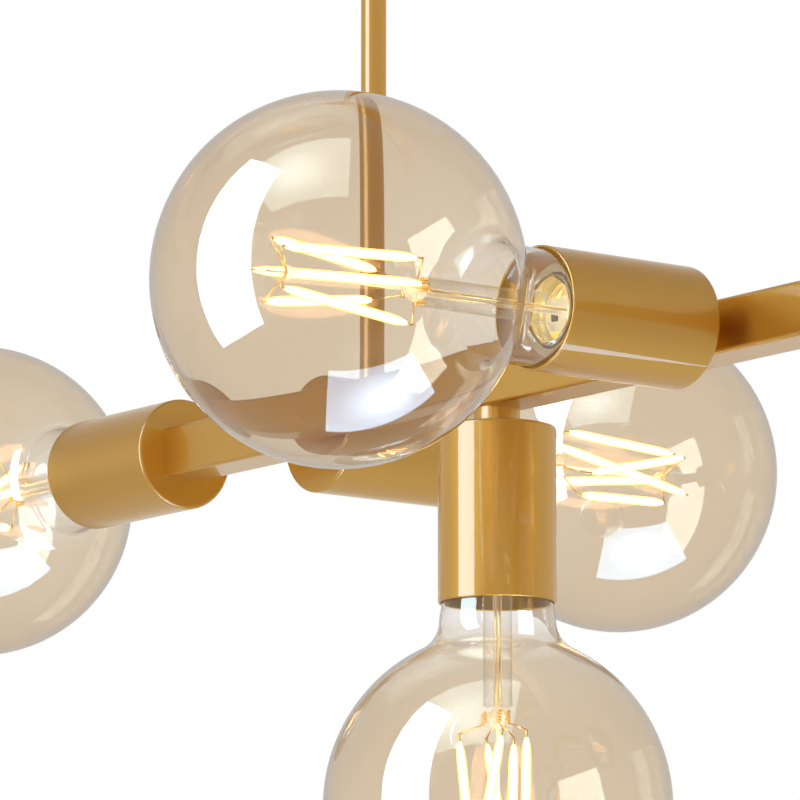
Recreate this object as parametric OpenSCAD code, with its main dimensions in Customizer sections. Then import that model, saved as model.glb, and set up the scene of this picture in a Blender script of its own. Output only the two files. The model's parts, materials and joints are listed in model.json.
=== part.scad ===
// Linear ceiling light: a square bar hung from a long canopy on two rods, with cups
// that carry large round filament lamps at its ends, behind, below and in front.
// Millimetres, +Z up. The origin is the middle of the bracket's face on the ceiling.

/* [Bar] */
// Length of the square bar between the two end cups
bar_len = 766; // [720:1:900]
// Width of the bar, front to back
bar_w = 19; // [18.5:0.1:21]
// Height of the bar
bar_h = 19; // [18.5:0.1:21]
// Wall of the bar's tube
bar_wall = 1.5; // [1:0.1:1.7]
// Radius of the bar's outer long edges
bar_round = 1.5; // [0.6:0.1:2.4]
// Radius of the bar's inner long edges
bar_inner_round = 0.2; // [0.1:0.05:1]
// Length of the threaded plug in each end of the bar
plug_len = 12; // [8:0.5:20]

/* [Cups] */
// Gap between the lamp's glass neck and the cup round it
neck_gap = 0.3; // [0.3:0.05:2]
// Length of a cup from its back to its mouth
cup_len = 64; // [60:0.5:70]
// Wall of a cup
cup_wall = 1; // [0.6:0.1:1]
// Radius of the rounded edge round a cup's back
cup_edge = 1.2; // [0.5:0.1:2]
// Length of the collar between the bar and a cup
spacer_len = 6.6; // [4:0.1:12]
// Diameter of that collar
spacer_d = 16.7; // [13:0.1:18]
// Distance from a bar's end to the nearest cup at its side
near_cup_at = 64; // [50:0.5:80]
// Distance from a bar's end to the cup that points down
down_cup_at = 195.5; // [175:0.5:215]
// Distance from a bar's end to the second cup at its side
far_cup_at = 319.5; // [300:0.5:335]

/* [Lamps] */
// Diameter of the glass globe
globe_d = 125; // [120:1:126]
// Length of a lamp from its contact to the top of the globe
lamp_len = 178; // [176:0.5:180]
// Thickness of the glass
glass_wall = 0.8; // [0.5:0.1:1.2]
// Diameter of the glass neck inside the cup
neck_d = 40.2; // [38.5:0.1:42]
// How much wider the neck is just before the globe, all round
neck_swell = 0.9; // [0:0.1:1.5]
// Length over which the neck widens towards the globe
swell_len = 6; // [3:0.5:8]
// Radius of the hollow curve between the neck and the globe
neck_fillet = 12; // [8:0.5:14]
// Distance from the cup's mouth to the globe's centre, on the level cups
level_reach = 82.3; // [80:0.1:84]
// The same distance on the cups that point down
down_reach = 73; // [70:0.1:76]
// Diameter over the threads of the lamp's cap
cap_d = 26.3; // [25.8:0.1:26.4]
// Length of the cap's metal shell
cap_shell_len = 21; // [19:0.5:21.5]
// Thickness of the cap's metal
cap_wall = 0.4; // [0.3:0.05:0.5]
// Distance from one thread turn to the next
thread_pitch = 3.629; // [3:0.01:4]
// Height of the thread's ridges
thread_height = 0.8; // [0.4:0.05:0.9]
// Radius of a ridge's round top
ridge_r = 0.9; // [0.8:0.05:1.2]
// Length of the cap's shell that has no thread
plain_rim_len = 7; // [4:0.5:9]
// Length of the narrow glass collar inside the cap
glass_collar_len = 7; // [5:0.5:9]
// Diameter of the solder contact on the lamp's end
tip_d = 9.2; // [8:0.1:10]
// Height of that contact
tip_height = 1.6; // [1:0.1:2]
// Height of the insulating cone between the contact and the shell
cone_height = 4.4; // [3.5:0.1:5]

/* [Filaments] */
// Diameter of one light-giving stick
stick_d = 3; // [1.4:0.1:3.2]
// Radius of the ring of stick ends away from the cap
stick_ring_far = 10.4; // [8:0.1:12]
// Radius of the ring of stick ends towards the cap
stick_ring_near = 14; // [10:0.1:15]
// Distance of the far ring past the globe's centre
stick_far_at = 27.7; // [22:0.1:32]
// Distance of the near ring before the globe's centre
stick_near_at = 23.8; // [18:0.1:28]
// Diameter of the glass stem that carries the sticks
stem_d = 10.4; // [8:0.1:11]
// Distance from the stem's end to the globe's centre
stem_end_at = 36; // [35:0.5:60]
// Length of the stem's solid end
stem_press_len = 8; // [4:0.5:12]
// Diameter of the glass post along the middle of the sticks
post_d = 1.5; // [1:0.1:1.6]
// Diameter of the glass button that holds the far support wires
far_button_d = 5; // [3.6:0.1:6]
// Diameter of the glass button at the stem's end, which holds the near ones
near_button_d = 8; // [5:0.1:9]
// Distance of the far button past the globe's centre
far_button_at = 21; // [16:0.5:26]
// Distance of the near button before the globe's centre
near_button_at = 32; // [30:0.5:34]
// Diameter of the support wires
support_d = 0.7; // [0.5:0.05:1]

/* [Lampholders] */
// Wall of the insulating body round the screw shell
holder_wall = 3.2; // [2:0.1:4]
// Thickness of the body behind the centre contact
holder_floor = 10; // [8:0.5:12]
// Depth of the threaded mouth, from the lamp's contact
holder_depth = 24; // [20:0.5:26]
// Thickness of the metal screw shell
shell_wall = 0.4; // [0.3:0.05:0.6]
// Running gap round the lamp's cap in the screw shell
thread_gap = 0.1; // [0.05:0.01:0.3]
// Gap between the lamp's contact and the centre contact
contact_gap = 0.3; // [0.2:0.05:0.6]
// Diameter of the centre contact
contact_d = 8; // [6:0.1:10]
// Thickness of the centre contact
contact_t = 1.2; // [0.8:0.1:2]
// Diameter of the hole in the body's foot for the lead
foot_hole_d = 3.6; // [3.6:0.1:5]

/* [Threaded fittings] */
// Diameter of the hollow threaded nipples
nipple_d = 10; // [9:0.1:10.4]
// Bore of the nipples
nipple_bore = 6; // [5:0.1:7]
// Size of the nuts across their flats
nut_af = 14; // [12.5:0.1:14]
// Thickness of a nut
nut_t = 3.5; // [2.5:0.1:4]
// Free gap round every fixed threaded fit
fit_gap = 0.1; // [0.05:0.01:0.2]

/* [Rods] */
// Diameter of the rods
rod_d = 9.5; // [9:0.1:10]
// Bore of the rods
rod_bore = 7; // [6.4:0.1:7.4]
// Visible length of a lower rod
lower_rod_len = 300; // [200:5:400]
// Length of an upper rod below the canopy's ball
upper_rod_len = 150; // [100:5:300]
// Distance from each end of the bar to its rod
rod_inset = 121; // [105:0.5:135]
// Length of the hollow stud that joins the rods
stud_len = 30; // [20:1:40]
// Bore of that stud
stud_bore = 4.4; // [4:0.1:5]

/* [Swivels] */
// Diameter of the swivel ball
ball_d = 18; // [17.5:0.1:19]
// Diameter of the wire hole in the ball's top
ball_bore = 6; // [5:0.1:6.4]
// Running gap between the ball and its seat
ball_gap = 0.1; // [0.05:0.01:0.3]
// Largest swing of the rods to each side, in degrees
swing_max = 20; // [5:1:20]
// Outer diameter of the seat's body
seat_d = 23; // [22:0.1:26]
// Diameter of the flange that rests on the canopy's floor
flange_d = 30; // [28:0.5:34]
// Thickness of that flange
flange_t = 1.5; // [1:0.1:2.5]
// How far the seat shows below the canopy
seat_drop = 3; // [2:0.1:3.4]
// Height of the ball's centre above the canopy's underside
ball_rise = 4; // [3.8:0.1:5]

/* [Canopy] */
// Length of the canopy
canopy_len = 600; // [580:1:700]
// Width of the canopy
canopy_w = 62; // [50:1:80]
// Height of the canopy
canopy_h = 25; // [25:0.5:40]
// Sheet thickness of the canopy
canopy_wall = 1.2; // [0.8:0.1:2]
// Radius of the canopy's upright corners
canopy_round = 5; // [3:0.5:10]
// Radius of the canopy's lower edges
canopy_edge = 2; // [2:0.1:2.8]

/* [Ceiling bracket] */
// Length of the bracket
bracket_len = 480; // [460:1:500]
// Width of the bracket
bracket_w = 30; // [24:0.5:40]
// Thickness of the bracket
bracket_t = 2; // [1.5:0.1:3]
// Radius of the bracket's corners
bracket_round = 4; // [1:0.5:10]
// Distance between the middles of the two ceiling slots
slot_spacing = 88.9; // [70:0.1:110]
// Width of those slots
slot_w = 4.8; // [4:0.1:6]
// End to end length of those slots
slot_len = 16; // [10:0.5:20]
// Distance between the two round end holes
end_hole_spacing = 440; // [400:1:450]
// Diameter of the end holes
end_hole_d = 5.2; // [4:0.1:6]
// Diameter of the hole for the supply cable
cable_hole_d = 14; // [8:0.5:18]
// Distance between the two canopy studs
canopy_stud_spacing = 300; // [200:1:380]
// Diameter of the canopy studs
canopy_stud_d = 5; // [4:0.1:6]
// Diameter of the welded collar on a stud
stud_collar_d = 10; // [8:0.5:14]
// Thickness of that collar
stud_collar_t = 2; // [1:0.1:3]
// Diameter of the domed cap nuts
cap_nut_d = 12; // [10:0.1:16]
// Height of the straight part of a cap nut
cap_nut_h = 5; // [4:0.1:8]

/* [Wiring] */
// Diameter of the twin lead
lead_d = 3.2; // [2.4:0.1:3.6]
// Length of the terminal block
terminal_len = 30; // [20:0.5:40]
// Width of the terminal block
terminal_w = 16; // [12:0.5:20]
// Height of the terminal block
terminal_h = 11; // [8:0.5:14]
// Number of ways through the terminal block
ways = 3; // [2:1:3]
// Diameter of one way
way_d = 3.4; // [2:0.1:4]
// Distance of the terminal block's middle from the bracket's middle
terminal_at = 90; // [80:1:120]
// Distance from the canopy's middle to the leads that run along it
canopy_lead_y = 12; // [11:0.5:20]

/* [Hidden] */
$fn = 96;

gold = [0.76, 0.57, 0.27];
pale_gold = [0.86, 0.72, 0.42];
amber_glass = [0.86, 0.76, 0.60, 0.5];
clear_glass = [0.9, 0.92, 0.92, 0.6];
nickel = [0.72, 0.72, 0.70];
porcelain = [0.90, 0.89, 0.85];
lead_black = [0.12, 0.12, 0.12];

// Heights: the ball's centre, the bar's middle and the bar's faces
ball_z = ball_rise - canopy_h;
upper_rod_bottom = ball_z - ball_d / 2 - upper_rod_len;
bar_top = upper_rod_bottom - lower_rod_len;
bar_z = bar_top - bar_h / 2;
bar_half = bar_len / 2;
rod_x = bar_half - rod_inset;
bar_in_w = bar_w - 2 * bar_wall;
bar_in_h = bar_h - 2 * bar_wall;

// Each cup: middle of its back, the turn that points its axis outwards, the reach of
// its lamp, whether a collar stands behind it, and how far its lamp is turned
side_y = bar_w / 2 + spacer_len;
down_z = bar_z - bar_h / 2 - spacer_len;
near_x = bar_half - near_cup_at;
down_x = bar_half - down_cup_at;
far_x = bar_half - far_cup_at;
LEFT = [0, -90, 0];
RIGHT = [0, 90, 0];
BACK = [-90, 0, 0];
FRONT = [90, 0, 0];
DOWN = [180, 0, 0];
CUPS = [
    [[-bar_half, 0, bar_z], LEFT, level_reach, false, 35],
    [[-near_x, side_y, bar_z], BACK, level_reach, true, 230],
    [[-down_x, 0, down_z], DOWN, down_reach, true, 205],
    [[-far_x, -side_y, bar_z], FRONT, level_reach, true, 0],
    [[far_x, side_y, bar_z], BACK, level_reach, true, 75],
    [[down_x, 0, down_z], DOWN, down_reach, true, 260],
    [[near_x, -side_y, bar_z], FRONT, level_reach, true, 200],
    [[bar_half, 0, bar_z], RIGHT, level_reach, false, 110]
];
ALL = [0 : len(CUPS) - 1];

// The lamp, measured from the globe's centre towards its contact
globe_r = globe_d / 2;
tip_at = lamp_len - globe_r;
shell_foot_at = tip_at - tip_height - cone_height;
shell_rim_at = shell_foot_at - cap_shell_len;
cap_r = cap_d / 2;
thread_root_r = cap_r - thread_height;
collar_r = thread_root_r - cap_wall - fit_gap;
neck_r = neck_d / 2;
swell_r = neck_r + neck_swell;
shoulder_r = neck_r - collar_r;
shoulder_at = shell_rim_at - fit_gap - shoulder_r;
// The hollow curve touches the widest part of the neck and the globe
fillet_x = swell_r + neck_fillet;
fillet_at = sqrt(pow(globe_r + neck_fillet, 2) - pow(fillet_x, 2));
collar_foot_at = shell_rim_at + glass_collar_len;
thread_turns = floor((cap_shell_len - plain_rim_len) / thread_pitch);

// The lampholder, measured from the cup's back
function tip_z(c) = cup_len + c[2] - tip_at;
shell_in_r = cap_r + thread_gap;
shell_out_r = shell_in_r + shell_wall;
holder_d = 2 * (shell_out_r + fit_gap + holder_wall);
cup_in_r = neck_r + neck_gap;
cup_d = 2 * (cup_in_r + cup_wall);

// Angles of the stick ends on the far and the near ring, and a point on such a ring
STICK_FAR = [40, 80, 170, 256, 317];
STICK_NEAR = [37, 146, 357, 188, 294];
function ring_point(r, angle, z) = [r * cos(angle), r * sin(angle), z];

// How far a cutter reaches past the face that it opens, and two counts of sides
cut = 1;
ridge_fn = 32;
hex = 6;

// A rectangle with round corners, its middle at the origin
module round_rect(length, width, r) {
    square([length - 2 * r, width], center = true);
    square([length, width - 2 * r], center = true);
    for (x = [-1, 1], y = [-1, 1])
        translate([x * (length / 2 - r), y * (width / 2 - r)]) circle(r);
}

// Places its children in a cup's own frame: back at zero, mouth towards +Z
module at_cup(i) {
    translate(CUPS[i][0]) rotate(CUPS[i][1]) children();
}

// The same frame for a lamp: globe's centre at zero, cap towards -Z
module at_lamp(i) {
    at_cup(i) translate([0, 0, cup_len + CUPS[i][2]]) rotate(CUPS[i][4]) children();
}

// A straight round bar from one point to another
module rod_between(a, b, d, sides = ridge_fn) {
    v = b - a;
    l = norm(v);
    translate(a) rotate([0, acos(v.z / l), atan2(v.y, v.x)])
        cylinder(h = l, d = d, $fn = sides);
}

module hex_nut(bore) {
    difference() {
        cylinder(h = nut_t, d = nut_af / cos(30), $fn = hex);
        translate([0, 0, -cut]) cylinder(h = nut_t + 2 * cut, d = bore);
    }
}

module tube(h, d, bore) {
    difference() {
        cylinder(h = h, d = d);
        translate([0, 0, -cut]) cylinder(h = h + 2 * cut, d = bore);
    }
}

module bar() {
    color(gold) difference() {
        translate([-bar_half, 0, bar_z]) rotate([90, 0, 90])
            linear_extrude(height = bar_len) difference() {
                round_rect(bar_w, bar_h, bar_round);
                round_rect(bar_in_w, bar_in_h, bar_inner_round);
            }
        for (i = ALL) if (CUPS[i][3]) at_cup(i)
            translate([0, 0, -spacer_len - 2 * bar_wall])
                cylinder(h = 3 * bar_wall, d = nipple_d + 2 * fit_gap);
        for (x = [-rod_x, rod_x]) translate([x, 0, bar_top - 2 * bar_wall])
            cylinder(h = 3 * bar_wall, d = rod_d + 2 * fit_gap);
    }
}

module bar_plugs() {
    color(nickel) for (i = ALL) if (!CUPS[i][3]) at_cup(i)
        translate([0, 0, -plug_len]) difference() {
            linear_extrude(height = plug_len)
                square([bar_in_h - 2 * fit_gap, bar_in_w - 2 * fit_gap], center = true);
            translate([0, 0, -cut])
                cylinder(h = plug_len + 2 * cut, d = nipple_d + 2 * fit_gap);
        }
}

module spacers() {
    color(gold) for (i = ALL) if (CUPS[i][3]) at_cup(i)
        translate([0, 0, -spacer_len]) tube(spacer_len, spacer_d, nipple_d + 2 * fit_gap);
}

// How far a nipple reaches behind the cup's back, and the holder's foot before it
function nipple_tail(c) = c[3] ? spacer_len + bar_wall + nut_t : plug_len;
function holder_foot(c) = tip_z(c) - contact_gap - contact_t - holder_floor;

module nipples() {
    color(pale_gold) for (i = ALL) at_cup(i) {
        tail = nipple_tail(CUPS[i]);
        head = holder_foot(CUPS[i]) + holder_floor / 2;
        translate([0, 0, -tail]) tube(tail + head, nipple_d, nipple_bore);
    }
}

// One nut inside each cup and, where a collar stands, one inside the bar
module nipple_nuts() {
    color(nickel) for (i = ALL) at_cup(i) {
        translate([0, 0, cup_wall]) hex_nut(nipple_d + 2 * fit_gap);
        if (CUPS[i][3]) translate([0, 0, -spacer_len - bar_wall - nut_t])
            hex_nut(nipple_d + 2 * fit_gap);
    }
}

module rod_nuts() {
    color(nickel) for (x = [-rod_x, rod_x]) translate([x, 0, bar_top - bar_wall - nut_t])
        hex_nut(rod_d + 2 * fit_gap);
}

module cup(i) {
    color(gold) at_cup(i) difference() {
        rotate_extrude() {
            difference() {
                union() {
                    square([cup_d / 2 - cup_edge, cup_len / 2]);
                    translate([0, cup_edge]) square([cup_d / 2, cup_len - cup_edge - cup_wall / 2]);
                    translate([cup_d / 2 - cup_edge, cup_edge]) circle(cup_edge);
                }
                translate([-cup_d, cup_wall]) square([cup_d + cup_in_r, cup_len]);
            }
            // rounded rim of the mouth
            translate([cup_in_r + cup_wall / 2, cup_len - cup_wall / 2]) circle(d = cup_wall);
        }
        translate([0, 0, -cut]) cylinder(h = cup_wall + 2 * cut, d = nipple_d + 2 * fit_gap);
    }
}

module lampholders() {
    color(porcelain) for (i = ALL) at_cup(i) {
        foot = holder_foot(CUPS[i]);
        seat = foot + holder_floor;
        mouth = tip_z(CUPS[i]) + holder_depth;
        difference() {
            translate([0, 0, foot]) cylinder(h = mouth - foot, d = holder_d);
            translate([0, 0, seat]) cylinder(h = mouth, r = shell_out_r + fit_gap);
            translate([0, 0, foot - cut])
                cylinder(h = holder_floor / 2 + cut, d = nipple_d + 2 * fit_gap);
            translate([0, 0, foot]) cylinder(h = holder_floor + cut, d = foot_hole_d);
        }
    }
}

// Each lampholder's metal screw shell and its centre contact, as two solids
module socket_contacts() {
    color(pale_gold) for (i = ALL) at_cup(i) {
        seat = holder_foot(CUPS[i]) + holder_floor;
        mouth = tip_z(CUPS[i]) + holder_depth;
        translate([0, 0, seat]) tube(mouth - seat, 2 * shell_out_r, 2 * shell_in_r);
        translate([0, 0, seat]) cylinder(h = contact_t, d = contact_d);
    }
}

// Half outline of the lamp's glass, drawn in from its surface by t, cap's end downwards
module glass_outline(t) {
    intersection() {
        union() {
            circle(globe_r - t);
            // hollow curve between the globe and the neck
            difference() {
                polygon([[0, 0], [0, -fillet_at], [fillet_x, -fillet_at]]);
                translate([fillet_x, -fillet_at]) circle(neck_fillet + t);
            }
            // widening and straight neck
            polygon([
                [0, neck_fillet - fillet_at], [swell_r - t, neck_fillet - fillet_at],
                [swell_r - t, -fillet_at], [neck_r - t, -fillet_at - swell_len],
                [neck_r - t, -shoulder_at], [0, -shoulder_at]
            ]);
            // round shoulder, and the collar inside the cap
            translate([collar_r, -shoulder_at]) circle(shoulder_r - t);
            translate([0, -shoulder_at - shoulder_r + t]) square([collar_r, shoulder_r]);
            translate([0, -collar_foot_at - t])
                square([collar_r - t, collar_foot_at + t - shoulder_at]);
        }
        translate([0, -lamp_len]) square([globe_r, 2 * lamp_len]);
    }
}

module bulb_glass(i) {
    color(amber_glass) at_lamp(i) rotate_extrude() difference() {
        glass_outline(0);
        glass_outline(glass_wall);
    }
}

module bulb_cap(i) {
    color(pale_gold) at_lamp(i) translate([0, 0, -shell_foot_at]) rotate_extrude() {
        translate([thread_root_r - cap_wall, 0]) square([cap_wall, cap_shell_len]);
        for (k = [1 : thread_turns]) intersection() {
            translate([cap_r - ridge_r, k * thread_pitch]) circle(ridge_r, $fn = ridge_fn);
            translate([thread_root_r - cap_wall / 2, 0]) square([cap_wall + cap_d, cap_shell_len]);
        }
        // inner lip that closes on the insulating cone
        translate([tip_d / 2, 0]) square([thread_root_r - tip_d / 2, cap_wall]);
    }
}

// The insulating cone and the solder contact on the lamp's end
module bulb_contact(i) {
    color(lead_black) at_lamp(i) {
        translate([0, 0, -tip_at]) cylinder(h = tip_height, d = tip_d);
        translate([0, 0, -tip_at + tip_height])
            cylinder(h = cone_height, d1 = tip_d, d2 = 2 * thread_root_r);
    }
}

// Half outline of the glass stem: a thin flare inside the cap's end that curves up to a
// tube, which is pressed solid at its far end
module stem_outline() {
    foot_r = collar_r - glass_wall - fit_gap;
    curve_r = foot_r - stem_d / 2;
    curve_at = collar_foot_at - glass_wall - curve_r;
    press_at = stem_end_at + stem_press_len;
    translate([foot_r, -curve_at]) intersection() {
        difference() {
            circle(curve_r + glass_wall);
            circle(curve_r);
        }
        translate([-foot_r, -collar_foot_at]) square([foot_r, collar_foot_at]);
    }
    translate([stem_d / 2 - glass_wall, -curve_at]) square([glass_wall, curve_at - stem_end_at]);
    translate([0, -press_at]) square([stem_d / 2, stem_press_len]);
}

module bulb_filament(i) {
    far_button = [0, 0, far_button_at];
    near_button = [0, 0, -near_button_at];
    color(clear_glass) at_lamp(i) {
        rotate_extrude() stem_outline();
        rod_between([0, 0, -stem_end_at], far_button, post_d);
        translate(far_button) sphere(d = far_button_d);
        translate(near_button) sphere(d = near_button_d);
        for (k = [0 : len(STICK_FAR) - 1]) {
            far = ring_point(stick_ring_far, STICK_FAR[k], stick_far_at);
            near = ring_point(stick_ring_near, STICK_NEAR[k], -stick_near_at);
            rod_between(near, far, stick_d);
            rod_between(far_button, far, support_d);
            rod_between(near_button, near, support_d);
        }
    }
}

module rods(top, bottom) {
    for (x = [-rod_x, rod_x]) translate([x, 0, bottom]) tube(top - bottom, rod_d, rod_bore);
}

module lower_rods() {
    color(gold) rods(upper_rod_bottom, bar_top - bar_wall - nut_t);
}

module upper_rods() {
    color(gold) rods(ball_z, upper_rod_bottom);
}

module rod_studs() {
    color(nickel) for (x = [-rod_x, rod_x])
        translate([x, 0, upper_rod_bottom - stud_len / 2])
            tube(stud_len, rod_bore - 2 * fit_gap, stud_bore);
}

module swivel_balls() {
    color(gold) for (x = [-rod_x, rod_x]) translate([x, 0, ball_z]) difference() {
        sphere(d = ball_d);
        translate([0, 0, -ball_d]) cylinder(h = ball_d, d = rod_d + 2 * fit_gap);
        cylinder(h = ball_d, d = ball_bore);
    }
}

// The seat is open below as a cone, so that the rod can swing in it
seat_low = ball_rise + seat_drop;
function swing_room(depth) = depth * tan(swing_max) + rod_d / 2 / cos(swing_max) + ball_gap;

module swivel_seats() {
    color(gold) for (x = [-rod_x, rod_x]) translate([x, 0, ball_z]) difference() {
        union() {
            translate([0, 0, -seat_low]) cylinder(h = seat_drop + canopy_wall, d = seat_d);
            translate([0, 0, -ball_rise + canopy_wall]) cylinder(h = flange_t, d = flange_d);
        }
        sphere(d = ball_d + 2 * ball_gap);
        translate([0, 0, -seat_low - cut])
            cylinder(h = seat_low + cut, r1 = swing_room(seat_low + cut), r2 = swing_room(0));
    }
}

// Cross-section of a tray whose two lower corners are round, its foot on the X axis
module tray_outline(width, height, edge) {
    translate([-width / 2, edge]) square([width, height - edge]);
    translate([edge - width / 2, 0]) square([width - 2 * edge, height]);
    for (x = [-1, 1]) translate([x * (width / 2 - edge), edge]) circle(edge);
}

// A solid tray with round upright corners and round lower edges, its foot at zero
module soft_tray(length, width, height, r, edge) {
    rotate([90, 0, 0]) linear_extrude(height = width - 2 * r, center = true)
        tray_outline(length, height, edge);
    rotate([90, 0, 90]) linear_extrude(height = length - 2 * r, center = true)
        tray_outline(width, height, edge);
    for (x = [-1, 1], y = [-1, 1]) translate([x * (length / 2 - r), y * (width / 2 - r), 0])
        rotate_extrude() intersection() {
            tray_outline(2 * r, height, edge);
            square([r, height]);
        }
}

module canopy() {
    color(gold) translate([0, 0, -canopy_h]) difference() {
        soft_tray(canopy_len, canopy_w, canopy_h, canopy_round, canopy_edge);
        translate([0, 0, canopy_wall])
            soft_tray(canopy_len - 2 * canopy_wall, canopy_w - 2 * canopy_wall, canopy_h,
                      canopy_round - canopy_wall, canopy_edge - canopy_wall);
        for (x = [-rod_x, rod_x]) translate([x, 0, -cut])
            cylinder(h = canopy_wall + 2 * cut, d = seat_d + 2 * fit_gap);
        for (x = [-1, 1]) translate([x * canopy_stud_spacing / 2, 0, -cut])
            cylinder(h = canopy_wall + 2 * cut, d = canopy_stud_d + 2 * fit_gap);
    }
}

module slot(length, width) {
    square([length - width, width], center = true);
    for (x = [-1, 1]) translate([x * (length - width) / 2, 0]) circle(d = width);
}

module ceiling_bracket() {
    color(nickel) translate([0, 0, -bracket_t]) linear_extrude(height = bracket_t) difference() {
        round_rect(bracket_len, bracket_w, bracket_round);
        for (x = [-1, 1]) {
            translate([x * slot_spacing / 2, 0]) slot(slot_len, slot_w);
            translate([x * end_hole_spacing / 2, 0]) circle(d = end_hole_d);
            translate([x * canopy_stud_spacing / 2, 0]) circle(d = canopy_stud_d + 2 * fit_gap);
        }
        circle(d = cable_hole_d);
    }
}

// Each stud has a welded collar below the bracket and ends inside its cap nut
stud_end = canopy_h + cap_nut_h;
module canopy_studs() {
    color(nickel) for (x = [-1, 1]) translate([x * canopy_stud_spacing / 2, 0, 0]) {
        translate([0, 0, -stud_end]) cylinder(h = stud_end, d = canopy_stud_d);
        translate([0, 0, -bracket_t - stud_collar_t])
            cylinder(h = stud_collar_t, d = stud_collar_d);
    }
}

module cap_nuts() {
    color(gold) for (x = [-1, 1]) translate([x * canopy_stud_spacing / 2, 0, -canopy_h]) difference() {
        union() {
            translate([0, 0, -cap_nut_h]) cylinder(h = cap_nut_h, d = cap_nut_d);
            translate([0, 0, -cap_nut_h]) intersection() {
                sphere(d = cap_nut_d);
                translate([0, 0, -cap_nut_d / 2]) cylinder(h = cap_nut_d / 2, d = cap_nut_d);
            }
        }
        translate([0, 0, -cap_nut_h - fit_gap])
            cylinder(h = cap_nut_h + cut, d = canopy_stud_d + 2 * fit_gap);
    }
}

// How far a cup's branch reaches behind its back: to the middle of the bar, or its plug
function branch_tail(c) = c[3] ? norm([c[0].y, c[0].z - bar_z]) : plug_len;

// One lead along the bar, a branch to each lampholder and a riser in each rod
module bar_leads() {
    color(lead_black) {
        translate([-bar_half + plug_len, 0, bar_z]) rotate([0, 90, 0])
            cylinder(h = bar_len - 2 * plug_len, d = lead_d);
        for (i = ALL) at_cup(i) {
            tail = branch_tail(CUPS[i]);
            translate([0, 0, -tail])
                cylinder(h = tail + holder_foot(CUPS[i]) + holder_floor, d = lead_d);
        }
        for (x = [-rod_x, rod_x]) translate([x, 0, bar_z])
            cylinder(h = ball_z + ball_d / 2 - bar_z, d = lead_d);
    }
}

// A bent lead through a list of points, with round bends
module lead_path(points) {
    for (k = [1 : len(points) - 1]) rod_between(points[k - 1], points[k], lead_d);
    for (k = [1 : len(points) - 2]) translate(points[k]) sphere(d = lead_d, $fn = ridge_fn);
}

// From the terminal block to just above each rod's ball, one lead on each side
lead_end_z = ball_z + ball_d / 2 + lead_d;
way_z = -bracket_t - terminal_h / 2;
module canopy_leads() {
    color(lead_black) for (s = [-1, 1]) {
        way_x = terminal_at + s * terminal_len / ways;
        lead_path([
            [way_x, s * terminal_w / 2, way_z],
            [way_x, s * canopy_lead_y, way_z],
            [s * (rod_x - ball_d), s * canopy_lead_y, way_z],
            [s * rod_x, 0, lead_end_z]
        ]);
    }
}

module terminal_block() {
    color(porcelain) translate([terminal_at, 0, -bracket_t - terminal_h]) difference() {
        translate([-terminal_len / 2, -terminal_w / 2, 0])
            cube([terminal_len, terminal_w, terminal_h]);
        for (k = [0 : ways - 1])
            translate([(k - (ways - 1) / 2) * terminal_len / ways, -terminal_w, terminal_h / 2])
                rotate([-90, 0, 0]) cylinder(h = 2 * terminal_w, d = way_d);
    }
}

bar();
bar_plugs();
spacers();
nipples();
nipple_nuts();
rod_nuts();
lampholders();
socket_contacts();
lower_rods();
upper_rods();
rod_studs();
swivel_balls();
swivel_seats();
canopy();
ceiling_bracket();
canopy_studs();
cap_nuts();
bar_leads();
canopy_leads();
terminal_block();
for (i = ALL) {
    n = str(i + 1);
    cup(i);
    bulb_glass(i);
    bulb_cap(i);
    bulb_filament(i);
    bulb_contact(i);
}
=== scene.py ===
# %% [markdown]
# # A linear ceiling light with eight globe lamps
#
# The real object is a square gold bar on two thin rods. Eight cups stand on it, at its ends,
# behind, below and in front, and each holds a large round filament lamp of amber glass.
#
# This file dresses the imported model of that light. The metal pieces keep their own meshes and
# get new finishes. The glass and the light sticks of the lamps are modelled again here,
# because clear glass shows every facet that a coarse mesh has.

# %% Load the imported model
import json
import math
from collections import namedtuple

import bmesh
import bpy
from mathutils import Matrix, Vector


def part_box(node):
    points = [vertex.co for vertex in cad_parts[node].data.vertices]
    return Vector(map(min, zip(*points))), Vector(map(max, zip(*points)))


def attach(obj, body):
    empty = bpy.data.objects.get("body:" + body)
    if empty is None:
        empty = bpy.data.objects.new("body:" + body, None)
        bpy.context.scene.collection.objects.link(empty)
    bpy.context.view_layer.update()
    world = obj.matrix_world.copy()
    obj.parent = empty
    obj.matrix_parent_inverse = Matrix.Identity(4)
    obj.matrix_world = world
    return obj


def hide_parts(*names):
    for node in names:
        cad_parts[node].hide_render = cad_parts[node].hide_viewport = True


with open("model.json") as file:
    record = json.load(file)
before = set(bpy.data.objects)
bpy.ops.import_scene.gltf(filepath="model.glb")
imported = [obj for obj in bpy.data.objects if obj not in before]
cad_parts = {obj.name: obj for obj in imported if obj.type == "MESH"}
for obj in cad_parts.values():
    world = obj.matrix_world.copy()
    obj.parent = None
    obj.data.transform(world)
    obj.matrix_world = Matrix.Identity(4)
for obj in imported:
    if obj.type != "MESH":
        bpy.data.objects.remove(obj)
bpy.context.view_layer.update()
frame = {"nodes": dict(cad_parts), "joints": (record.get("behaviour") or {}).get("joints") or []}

nodes = frame["nodes"]
MM = 0.001

# %% [markdown]
# ## Where each lamp sits
#
# A lamp unscrews along the axis of its cup, so the joint of that name already says where the
# cup's back is and which way it points. The globe's radius and centre follow from the box of
# the glass. One matrix per lamp then carries a lamp that is modelled once, with its globe's
# centre at zero and its cap towards -Z, to its place on the bar.

# %% Places of the lamps
LAMPS = range(1, 9)
NEAREST_LAMP = 4
LAMP_TURNS = [35, 230, 205, 0, 75, 260, 200, 110]
Place = namedtuple("Place", "centre axis radius matrix")
joints = {joint["name"]: joint for joint in frame["joints"]}


def long_axis(direction):
    """The letter of the axis that a direction lies along."""
    return max("XYZ", key=lambda letter: abs(direction["XYZ".index(letter)]))


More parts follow.
